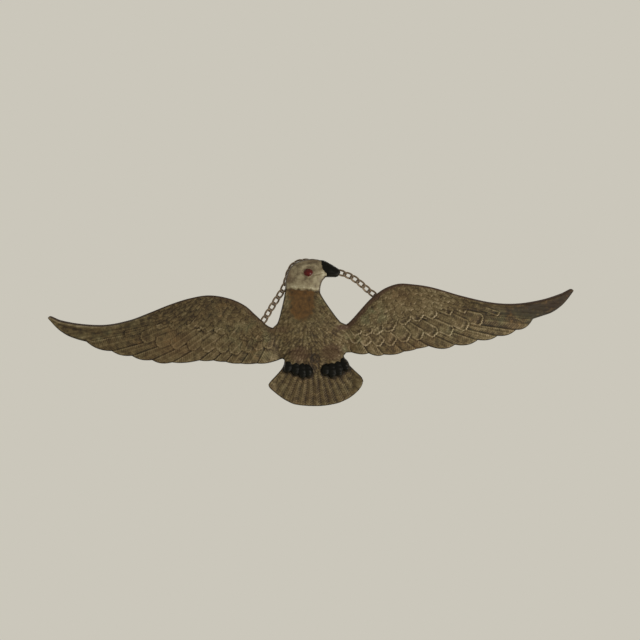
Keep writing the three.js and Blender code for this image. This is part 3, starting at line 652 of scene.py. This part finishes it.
def whole_front(x, z):
    """Every form of the front, from the wings and the fan up to the beak and the eye."""
    front = Front(x, z)
    for wing in (RIGHT_WING, LEFT_WING):
        out = wing["side"] * x
        here = np.flatnonzero(wing_depth(wing, out, z) > -OVERLAP)
        face, relief = wing_front(wing, out[here], z[here])
        front.height[here] = face + relief.height
        for name in PATTERN:
            getattr(front.pattern, name)[here] = getattr(relief, name)

    face, relief = fan_front(x, z)
    front.lay(within(fan_depth(x, z), face + relief.height), relief)
    hackles = carve_hackles(x, z)
    front.lay(within(body_depth(x, z), breast_front(x, z) + hackles.height), hackles, blend=0.9)
    front.lay(belly_front(x, z) + hackles.height, hackles)
    front.lay(ovals_front(x, z, THIGHS, centre=4.2, rise=4) + hackles.height, hackles, blend=1.6)

    vent = 1 - oval(x, z, *VENT)
    ring = hump(vent + 0.02, 0.13) * smooth(z, -31, -23)
    front.height -= 0.6 * smooth(vent, -0.05, 0.3) + 0.6 * ring
    # the ring round the vent joins the cuts and gets their painted shade
    front.pattern.cut = np.maximum(front.pattern.cut, 3.5 * ring)
    toes = ovals_front(x, z, TOES, centre=TAIL_THICKNESS + 2.4, rise=3, knuckles=0.35)
    front.lay(toes, paint=BLACK_PAINT)

    lip = z - through(HEAD_PAINT_EDGE)(x) - 0.3 * np.sin(x * 1.1 + np.sin(x * 0.6))
    head = lerp(front.height, head_front(x, z), np.sqrt(smooth(lip, -0.6, 1.6)))
    front.lay(np.where(lip > -0.6, head, NOWHERE), paint=WHITE_PAINT)
    front.lay(beak_front(x, z), paint=BLACK_PAINT)
    front.lay(eye_front(x, z), paint=RED_PAINT)
    paint, beak_edge = front.paint, through(BEAK_PAINT_EDGE)(z)
    paint[(paint == WHITE_PAINT) & (x > beak_edge) & (z > 46)] = BLACK_PAINT
    paint[(paint == BLACK_PAINT) & (x < beak_edge) & (z > 40)] = WHITE_PAINT
    return front


def stretches(x, z, places):
    """Strength at each point of a tint that lies in soft ovals."""
    strength = np.zeros_like(x)
    for *place, share in places:
        strength += share * (1 - smooth(oval(x, z, *place, 0), 0.2, 1.2))
    return strength


def front_edges(x, z):
    """1 along the upper edges of the wings, in a band that is wider near the body."""
    edge = np.zeros_like(x)
    for wing in (RIGHT_WING, LEFT_WING):
        out = wing["side"] * x
        upper = through(wing["top"])
        below = (upper(out) - z) / steepness(upper, out)
        reach = lerp(5.5, 2.2, smooth(out, 50, 100))
        band = smooth(below, -1, 0) * (1 - smooth(below, 0.5 * reach, reach))
        edge = np.maximum(edge, band * wing["brown_edge"] * smooth(out, 18, 26))
    return edge


def grid_points():
    """Grid over the casting, with the points next to its outline moved onto the outline."""
    xs, zs = np.arange(*GRID_X, GRID), np.arange(*GRID_Z, GRID)
    x, z = (a.ravel() for a in np.meshgrid(xs, zs))
    depth = outline_depth(x, z)
    kept = depth > -0.5 * GRID
    near = np.flatnonzero(kept & (depth < 0.5 * GRID))
    home_x, home_z = x[near].copy(), z[near].copy()
    reach = 0.05
    for _ in range(3):
        nx, nz = x[near], z[near]
        slope_x = (outline_depth(nx + reach, nz) - outline_depth(nx - reach, nz)) / (2 * reach)
        slope_z = (outline_depth(nx, nz + reach) - outline_depth(nx, nz - reach)) / (2 * reach)
        scale = outline_depth(nx, nz) / np.maximum(slope_x**2 + slope_z**2, 0.25)
        x[near] = home_x + np.clip(nx - scale * slope_x - home_x, -0.75 * GRID, 0.75 * GRID)
        z[near] = home_z + np.clip(nz - scale * slope_z - home_z, -0.75 * GRID, 0.75 * GRID)
    shape = (len(zs), len(xs))
    return x.reshape(shape), z.reshape(shape), kept.reshape(shape)


def blurred(values, mask, radius):
    """Mean over a square of cells, counting only those inside the mask."""

    def box(a):
        for axis in (0, 1):
            margins = [(radius + 1, radius) if k == axis else (0, 0) for k in (0, 1)]
            total = np.cumsum(np.pad(a, margins), axis)
            high = np.take(total, np.arange(2 * radius + 1, total.shape[axis]), axis)
            low = np.take(total, np.arange(0, total.shape[axis] - 2 * radius - 1), axis)
            a = high - low
        return a

    weight = box(mask.astype(float))
    return box(np.where(mask, values, 0.0)) / np.maximum(weight, 1)


def front_faces(kept):
    """Corners of each cell, the triangles of cells with only three of them, and the map of whole cells."""
    index = np.arange(kept.size).reshape(kept.shape)
    corners = np.stack([index[:-1, :-1], index[:-1, 1:], index[1:, 1:], index[1:, :-1]], -1)
    inside = kept.ravel()[corners]
    count = inside.sum(-1)
    partial = count == 3
    return corners, corners[partial][inside[partial]].reshape(-1, 3), count == 4


def block_faces(whole):
    """Large faces for the plain back: the corners of each block of whole cells, with the points on a
    side that a block of small cells shares. Returns them and the map of the cells that they cover."""
    rows, columns = whole.shape[0] // BLOCK, whole.shape[1] // BLOCK
    tiles = whole[: rows * BLOCK, : columns * BLOCK].reshape(rows, BLOCK, columns, BLOCK)
    full = np.pad(tiles.all((1, 3)), 1)
    width = whole.shape[1] + 1
    faces = []
    covered = np.zeros_like(whole)
    for r, c in np.argwhere(full):
        top, left = (r - 1) * BLOCK, (c - 1) * BLOCK
        covered[top : top + BLOCK, left : left + BLOCK] = True
        start = top * width + left
        sides = (
            (start, 1, full[r - 1, c]), (start + BLOCK, width, full[r, c + 1]),
            (start + BLOCK + BLOCK * width, -1, full[r + 1, c]),
            (start + BLOCK * width, -width, full[r, c - 1]),
        )
        face = []
        for corner, step, shared in sides:
            face += [corner + step * k for k in range(1 if shared else BLOCK)]
        faces.append(face)
    return faces, covered


def edge_points(faces):
    """Points on edges that belong to one face only."""
    edges = np.concatenate([
        np.stack([f[:, k], f[:, (k + 1) % f.shape[1]]], -1) for f in faces for k in range(f.shape[1])
    ])
    edges.sort(1)
    pairs, counts = np.unique(edges, axis=0, return_counts=True)
    return np.unique(pairs[counts == 1])


def tube(stations, radius, sides, closed):
    """Round wire through stations, each of them its middle and two directions square to the wire."""
    points = []
    for middle, out, up in stations:
        for spin in (2 * math.pi * k / sides for k in range(sides)):
            points.append(middle + radius * (math.cos(spin) * out + math.sin(spin) * up))
    faces = []
    for i in range(len(stations) if closed else len(stations) - 1):
        ring, onwards = i * sides, (i + 1) % len(stations) * sides
        for k in range(sides):
            after = (k + 1) % sides
            faces.append((ring + k, onwards + k, onwards + after, ring + after))
    return points, faces


def lug_mesh(at_x, at_z, direction, sides=10, steps=20):
    """Half a ring of round wire whose ends run a little way into the back."""
    back = float(back_height(np.array([at_x]), np.array([at_z]))[0])
    along = Vector((math.cos(math.radians(direction)), 0, math.sin(math.radians(direction))))
    away = Vector((0, 1, 0))
    stations = []
    for i in range(steps + 1):
        turn = lerp(-0.2, math.pi + 0.2, i / steps)
        out = along * math.cos(turn) + away * math.sin(turn)
        stations.append((Vector((at_x, -back, at_z)) + LUG_RADIUS * out, out, away.cross(along)))
    points, faces = tube(stations, LUG_WIRE_RADIUS, sides, closed=False)
    faces.append(tuple(range(sides)))
    faces.append(tuple(steps * sides + k for k in reversed(range(sides))))
    return np.array([tuple(p) for p in points]), faces


def finish_mesh(mesh):
    mesh.polygons.foreach_set("use_smooth", np.ones(len(mesh.polygons), bool))
    mesh.validate()
    mesh.update()


def add_object(name, data):
    thing = bpy.data.objects.new(name, data)
    bpy.context.scene.collection.objects.link(thing)
    return thing


def build_casting():
    x, z, kept = grid_points()
    corners, triangles, whole = front_faces(kept)
    squares = corners[whole]
    rim = edge_points([squares, triangles])
    flat = np.flatnonzero(kept)
    px, pz = x.ravel()[flat], z.ravel()[flat]
    form = whole_front(px, pz)
    back = back_height(px, pz)
    height = np.maximum(form.height, back + THINNEST)
    inside = np.clip(outline_depth(px, pz), 0, None)
    at_rim = np.zeros(kept.size, bool)
    at_rim[rim] = True
    inside[at_rim[flat]] = 0
    rounding = rounded(1 - np.clip(inside / EDGE_ROUND, 0, 1))
    front = back + (height - back) * lerp(EDGE_MIDDLE, 1, rounding)
    rear = back + (height - back) * EDGE_MIDDLE * (1 - rounding)

    field = np.zeros(kept.size)
    field[flat] = front
    field = field.reshape(kept.shape)
    fine, broad = (
        (field - blurred(blurred(field, kept, radius), kept, radius)).ravel()[flat] for radius in BLURS
    )

    number = np.full(kept.size, -1)
    number[flat] = np.arange(len(flat))
    rear_number = number.copy()
    blocks, covered = block_faces(whole)
    small = corners[whole & ~covered]
    block_points = np.unique(np.concatenate([np.array(b) for b in blocks]))
    needed = np.unique(np.concatenate([small.ravel(), triangles.ravel(), block_points]))
    own = needed[~at_rim[needed]]
    rear_number[own] = len(flat) + np.arange(len(own))

    points = np.concatenate([
        np.stack([px, -front, pz], -1),
        np.stack([x.ravel()[own], -rear[number[own]], z.ravel()[own]], -1),
    ])
    faces = number[squares].tolist() + number[triangles].tolist()
    faces += rear_number[small][:, ::-1].tolist() + rear_number[triangles][:, ::-1].tolist()
    faces += [rear_number[block[::-1]].tolist() for block in blocks]
    for place in LUG_PLACES:
        lug_points, lug_faces = lug_mesh(*place)
        faces += [tuple(n + len(points) for n in face) for face in lug_faces]
        points = np.concatenate([points, lug_points])

    points[:, 2] += PAD_BELOW_SHOULDERS
    mesh = bpy.data.meshes.new("eagle_casting")
    mesh.from_pydata((points * MM).tolist(), [], faces)
    paint = np.full(len(faces), METAL, np.int32)
    paint[: len(squares)] = np.sort(form.paint[number[squares]], axis=1)[:, 2]
    paint[len(squares) :][: len(triangles)] = np.sort(form.paint[number[triangles]], axis=1)[:, 1]
    mesh.polygons.foreach_set("material_index", paint)

    extra = len(points) - len(flat)
    thigh = np.max([1 - smooth(oval(px, pz, *place, 0), 0.55, 1.15) for place in THIGH_TINT], axis=0)
    written = {  # values on the front, and the one value that all the rest has
        "cavity": (fine, 0), "broad": (broad, 0), "rim": (np.clip(inside, 0, 8), 8), "thigh": (thigh, 0),
        "amber": (neck_patch(px, pz, 0.6, 1.08) * (body_depth(px, pz) > 0), 0),
        "bright": (head_highlights_and_wear(px, pz), 0), "front_edge": (front_edges(px, pz), 0),
        "behind": (np.zeros(len(flat)), 1),
        **{name: (getattr(form.pattern, name), 0.5 if name == "vane" else 0) for name in PATTERN},
        **{name: (stretches(px, pz, places), 0) for name, places in PLACES.items()},
    }
    for name, (values, elsewhere) in written.items():
        attribute = mesh.attributes.new(name, "FLOAT", "POINT")
        values = np.concatenate([values, np.full(extra, elsewhere)])
        attribute.data.foreach_set("value", values.astype(np.float32))
    finish_mesh(mesh)
    return add_object("eagle_casting", mesh)


def link_mesh(node, around=40, sides=10):
    """A smooth link of the same size and place as the faceted one of a node."""
    corners = np.array([v.co for v in node.data.vertices], float)
    centre = corners.mean(0)
    axes = np.linalg.svd(corners - centre, full_matrices=False)[2]
    axes[2] = np.cross(axes[0], axes[1])
    place = Matrix(np.vstack([np.column_stack([axes.T, centre]), [0, 0, 0, 1]]).tolist())
    line = []
    for i in range(around):
        turn = 2 * math.pi * i / around
        across = math.copysign(abs(math.sin(turn)) ** LINK_SQUARENESS, math.sin(turn)) * LINK_HALF_WIDTH
        along = math.copysign(abs(math.cos(turn)) ** LINK_SQUARENESS, math.cos(turn)) * LINK_HALF_LENGTH
        twist = LINK_TWIST * along / LINK_HALF_LENGTH
        line.append(Vector((along, across * math.cos(twist), across * math.sin(twist))))
    stations = []
    for i, middle in enumerate(line):
        forward = (line[(i + 1) % around] - line[i - 1]).normalized()
        out = (middle - forward * middle.dot(forward)).normalized()
        stations.append((middle, out, forward.cross(out)))
    points, faces = tube(stations, LINK_WIRE_RADIUS, sides, closed=True)
    mesh = bpy.data.meshes.new(node.name + "_wire")
    mesh.from_pydata([tuple(place @ (p * MM)) for p in points], [], faces)
    finish_mesh(mesh)
    return mesh


class Shader:
    """Short ways to make the nodes of one material."""

    def __init__(self, name):
        self.material = bpy.data.materials.new(name)
        self.material.use_nodes = True
        self.tree = self.material.node_tree
        self.tree.nodes.clear()
        self.shell = self.tree.nodes.new("ShaderNodeBsdfPrincipled")
        output = self.tree.nodes.new("ShaderNodeOutputMaterial")
        self.tree.links.new(self.shell.outputs[0], output.inputs["Surface"])

    def join(self, socket, value):
        if isinstance(value, bpy.types.NodeSocket):
            self.tree.links.new(value, socket)
        else:
            socket.default_value = value

    def attribute(self, name):
        node = self.tree.nodes.new("ShaderNodeAttribute")
        node.attribute_name = name
        return node.outputs["Fac"]

    def math(self, operation, a, b=0.0, clamp=False):
        node = self.tree.nodes.new("ShaderNodeMath")
        node.operation, node.use_clamp = operation, clamp
        self.join(node.inputs[0], a)
        self.join(node.inputs[1], b)
        return node.outputs[0]

    def total(self, *terms):
        """Sum of (value, weight) pairs and plain numbers."""
        whole = 0.0
        for term in terms:
            value = self.math("MULTIPLY", *term) if isinstance(term, tuple) else term
            whole = self.math("ADD", whole, value)
        return whole

    def swing(self, texture, weight):
        """A texture's swing about its middle, as a term of a total."""
        return self.math("SUBTRACT", texture, 0.5), weight

    def ramp(self, value, low, high, from_value=0.0, to_value=1.0):
        node = self.tree.nodes.new("ShaderNodeMapRange")
        node.interpolation_type = "SMOOTHSTEP"
        for socket, given in zip(list(node.inputs)[:5], (value, low, high, from_value, to_value)):
            self.join(socket, given)
        return node.outputs[0]

    def noise(self, scale, detail=3.0, roughness=0.55):
        node = self.tree.nodes.new("ShaderNodeTexNoise")
        where = self.tree.nodes.new("ShaderNodeTexCoord")
        self.tree.links.new(where.outputs["Object"], node.inputs["Vector"])
        for name, value in (("Scale", scale), ("Detail", detail), ("Roughness", roughness)):
            node.inputs[name].default_value = value
        return node.outputs[0]

    def colours(self, value, stops):
        node = self.tree.nodes.new("ShaderNodeValToRGB")
        ramp = node.color_ramp
        while len(ramp.elements) < len(stops):
            ramp.elements.new(0.5)
        for element, (at, colour) in zip(ramp.elements, stops):
            element.position, element.color = at, linear(colour)
        self.join(node.inputs[0], value)
        return node.outputs["Color"]

    def blend(self, share, a, b):
        node = self.tree.nodes.new("ShaderNodeMix")
        node.data_type = "RGBA"
        self.join(node.inputs["Factor"], share)
        for socket, value in ((node.inputs[6], a), (node.inputs[7], b)):
            self.join(socket, linear(value) if isinstance(value, tuple) else value)
        return node.outputs[2]

    def bump(self, height, strength, distance):
        node = self.tree.nodes.new("ShaderNodeBump")
        node.inputs["Strength"].default_value = strength
        node.inputs["Distance"].default_value = distance
        self.join(node.inputs["Height"], height)
        self.tree.links.new(node.outputs[0], self.shell.inputs["Normal"])

    def finish(self, colour, roughness, metallic=0.0, specular=0.5):
        for name, value in (
            ("Base Color", colour), ("Roughness", roughness), ("Metallic", metallic),
            ("Specular IOR Level", specular),
        ):
            self.join(self.shell.inputs[name], value)
        return self.material


def linear(colour):
    """Colour from 0 to 255 as shown on screen, as the renderer's own numbers."""
    shown = [c / 255 for c in colour]
    return (*[c / 12.92 if c <= 0.04045 else ((c + 0.055) / 1.055) ** 2.4 for c in shown], 1.0)


def worn_brass():
    """Brown patina, with painted shade in the cuts and along the rounded outline and painted highlights on
    the rims of the feathers.
    """
    s = Shader("worn_brass")
    cavity, broad, cut, bead = (s.attribute(name) for name in ("cavity", "broad", "cut", "bead"))
    rim, behind, vane = s.attribute("rim"), s.attribute("behind"), s.attribute("vane")
    patches, mottle, grain = s.noise(28, 3), s.noise(260, 4, 0.6), s.noise(1200, 3, 0.6)
    barbs = s.math("SINE", s.math("MULTIPLY", s.attribute("barb"), 2 * math.pi / BARB_PITCH))
    barbs = s.math("MULTIPLY", barbs, s.ramp(vane, 0.05, 0.3))
    # edge and the terms of light below: cut is painted shade in the cuts, bead a painted highlight on the
    # feathers' rims, edge painted shade on the rounded edges towards the outline
    edge = s.ramp(rim, 0.1, 1.9, 1.0, 0.0)
    light = s.total(
        0.45, (cavity, 0.5), (broad, 0.08), (cut, -0.1), (bead, 0.15), (barbs, 0.015), (edge, -0.32),
        (s.attribute("tone"), 0.03), s.swing(patches, 0.3), s.swing(mottle, 1.15), s.swing(grain, 0.3),
        (s.attribute("dark"), -0.6), (behind, -0.12),
    )
    brown = s.colours(light, [
        (0.0, (26, 18, 8)), (0.28, (60, 46, 23)), (0.5, (90, 76, 45)), (0.72, (120, 106, 78)),
        (1.0, (152, 138, 113)),
    ])
    uneven = s.ramp(s.noise(45, 3), 0.35, 0.7)
    warm = s.total((uneven, 0.2), (s.attribute("warm"), 0.7))
    brown = s.blend(warm, brown, s.blend(light, (64, 44, 24), (118, 92, 56)))
    flecks = s.ramp(s.noise(110, 3), 0.4, 0.68)
    green = s.math("MULTIPLY", flecks, s.total(0.15, (s.attribute("green"), 0.9)), clamp=True)
    brown = s.blend(green, brown, s.blend(light, (64, 61, 38), (124, 121, 86)))
    ragged = s.total(s.attribute("amber"), s.swing(mottle, 1.8), s.swing(uneven, 0.3))
    amber = s.colours(mottle, [(0.3, (62, 42, 12)), (0.7, (104, 70, 24))])
    brown = s.blend(s.math("MULTIPLY", s.ramp(ragged, 0.1, 0.9), 0.85), brown, amber)
    brown = s.blend(s.math("MULTIPLY", s.attribute("thigh"), 0.55), brown, (72, 46, 28))
    brown = s.blend(s.math("MULTIPLY", s.attribute("front_edge"), 0.85), brown, (66, 42, 26))
    s.bump(s.total((grain, 0.6), (barbs, 0.08), (mottle, 0.5)), 0.3, 0.0006)
    return s.finish(brown, s.ramp(light, 0.1, 0.9, 0.72, 0.46), metallic=0.3)


def chipped_white():
    """Dull off-white paint on the head, grey in its hollows and worn thin over the crown and the back, with
    painted highlights round the gape, right of the eye and along the lower lip.
    """
    s = Shader("chipped_white")
    cavity, broad, rim, bright = (s.attribute(name) for name in ("cavity", "broad", "rim", "bright"))
    patches, mottle, grain = s.noise(75, 3), s.noise(220, 4, 0.62), s.noise(900, 3, 0.6)
    # bright lifts the colour with painted highlights round the gape, right of the eye and along the lower lip
    light = s.total(
        0.4, (cavity, 0.5), (broad, 0.06), (bright, 0.27), s.swing(patches, 0.6),
        s.swing(mottle, 1.5), s.swing(grain, 0.4),
    )
    white = s.colours(light, [
        (0.0, (58, 46, 30)), (0.25, (92, 80, 58)), (0.5, (124, 113, 88)), (0.75, (143, 135, 110)),
        (1.0, (181, 175, 153)),
    ])
    worn = s.math("MULTIPLY", s.ramp(bright, -0.9, -0.1, 1.0, 0.0), s.ramp(patches, 0.3, 0.6, 0.4, 0.8))
    white = s.blend(worn, white, (106, 86, 62))
    white = s.blend(s.ramp(rim, 0.6, 2.4, 0.75, 0.0), white, (62, 48, 32))
    s.bump(s.total((grain, 0.5), (mottle, 0.8)), 0.3, 0.0006)
    return s.finish(white, s.ramp(mottle, 0.3, 0.7, 0.5, 0.68))


def black_enamel():
    s = Shader("black_enamel")
    mottle, grain = s.noise(260, 3), s.noise(1300, 2)
    light = s.total(0.3, (s.attribute("cavity"), 0.5), s.swing(mottle, 0.6))
    black = s.colours(light, [(0.0, (4, 4, 2)), (0.5, (9, 9, 5)), (1.0, (48, 40, 26))])
    s.bump(s.total((grain, 0.5), (mottle, 0.5)), 0.2, 0.0005)
    return s.finish(black, s.ramp(mottle, 0.3, 0.7, 0.35, 0.55), specular=0.12)


def red_enamel():
    s = Shader("red_enamel")
    mottle = s.noise(420, 3)
    red = s.colours(mottle, [(0.3, (56, 7, 5)), (0.7, (86, 14, 9))])
    s.bump(mottle, 0.08, 0.0004)
    return s.finish(red, s.ramp(mottle, 0.3, 0.7, 0.2, 0.32), specular=0.25)


def chain_brass():
    """Dull brass wire, mottled with dirt."""
    s = Shader("chain_brass")
    mottle, grain = s.noise(330, 4, 0.6), s.noise(1500, 3, 0.6)
    light = s.total(0.5, s.swing(mottle, 1.3), s.swing(grain, 0.7))
    brown = s.colours(light, [
        (0.0, (66, 53, 42)), (0.35, (104, 88, 70)), (0.65, (132, 115, 94)), (1.0, (160, 144, 120)),
    ])
    s.bump(s.total((grain, 0.4), (mottle, 0.4)), 0.25, 0.0003)
    return s.finish(brown, s.ramp(mottle, 0.25, 0.75, 0.62, 0.45), metallic=0.35)


def pale_floor():
    s = Shader("pale_floor")
    s.bump(s.noise(160, 3), 0.1, 0.001)
    return s.finish(s.blend(s.noise(3, 4), (206, 202, 190), (200, 196, 184)), 0.9)


def add_area_light(name, place, size, power, colour=(1, 1, 1)):
    data = bpy.data.lights.new(name, "AREA")
    data.shape, data.size, data.energy, data.color = "SQUARE", size, power, colour
    light = add_object(name, data)
    light.location = place
    light.rotation_euler = (LIGHT_AIM - Vector(place)).to_track_quat("-Z", "Y").to_euler()


casting = build_casting()
for make in (worn_brass, chipped_white, black_enamel, red_enamel):
    casting.data.materials.append(make())
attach(casting, "root")
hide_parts("eagle")

wire = chain_brass()
for name, node in sorted(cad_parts.items()):
    if name.startswith("chain_link_"):
        link = add_object(name.replace("chain_link", "wire_link"), link_mesh(node))
        link.data.materials.append(wire)
        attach(link, "root")
        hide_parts(name)

# Camera straight in front, turned so that the bird leans 3 degrees anticlockwise
CAMERA_AIM = Vector((7.7, 0, 9.05 + PAD_BELOW_SHOULDERS)) * MM
CAMERA_DISTANCE = 0.8
CAMERA_TURN = math.radians(3)
SENSOR_WIDTH, LENS = 36, 50
camera_data = bpy.data.cameras.new("camera")
camera_data.sensor_width, camera_data.lens = SENSOR_WIDTH, LENS
camera = add_object("camera", camera_data)
camera.location = CAMERA_AIM - Vector((0, CAMERA_DISTANCE, 0))
camera.rotation_euler = (math.radians(90), CAMERA_TURN, 0)
bpy.context.scene.camera = camera

FLOOR_HALF, FLOOR_LEVEL = 0.6, -0.56
floor_mesh = bpy.data.meshes.new("floor")
floor_mesh.from_pydata(
    [(x * FLOOR_HALF, y * FLOOR_HALF, FLOOR_LEVEL) for x, y in ((-1, -1), (1, -1), (1, 1), (-1, 1))], [],
    [(0, 1, 2, 3)],
)
floor_mesh.materials.append(pale_floor())
floor = add_object("floor", floor_mesh)

ROOM_COLOUR = (203, 199, 187)
world = bpy.data.worlds.new("pale_room")
world.use_nodes = True
background = world.node_tree.nodes["Background"]
background.inputs["Color"].default_value = linear(ROOM_COLOUR)
background.inputs["Strength"].default_value = 1.0
bpy.context.scene.world = world
bpy.context.scene.view_settings.view_transform = "Standard"

LIGHT_AIM = Vector((0, 0, 0.03))
add_area_light("key", place=(0.75, -0.7, -0.5), size=0.5, power=8.5, colour=(1.0, 0.95, 0.86))
add_area_light("back_fill", place=(-0.2, 1.5, 0.15), size=0.9, power=9)
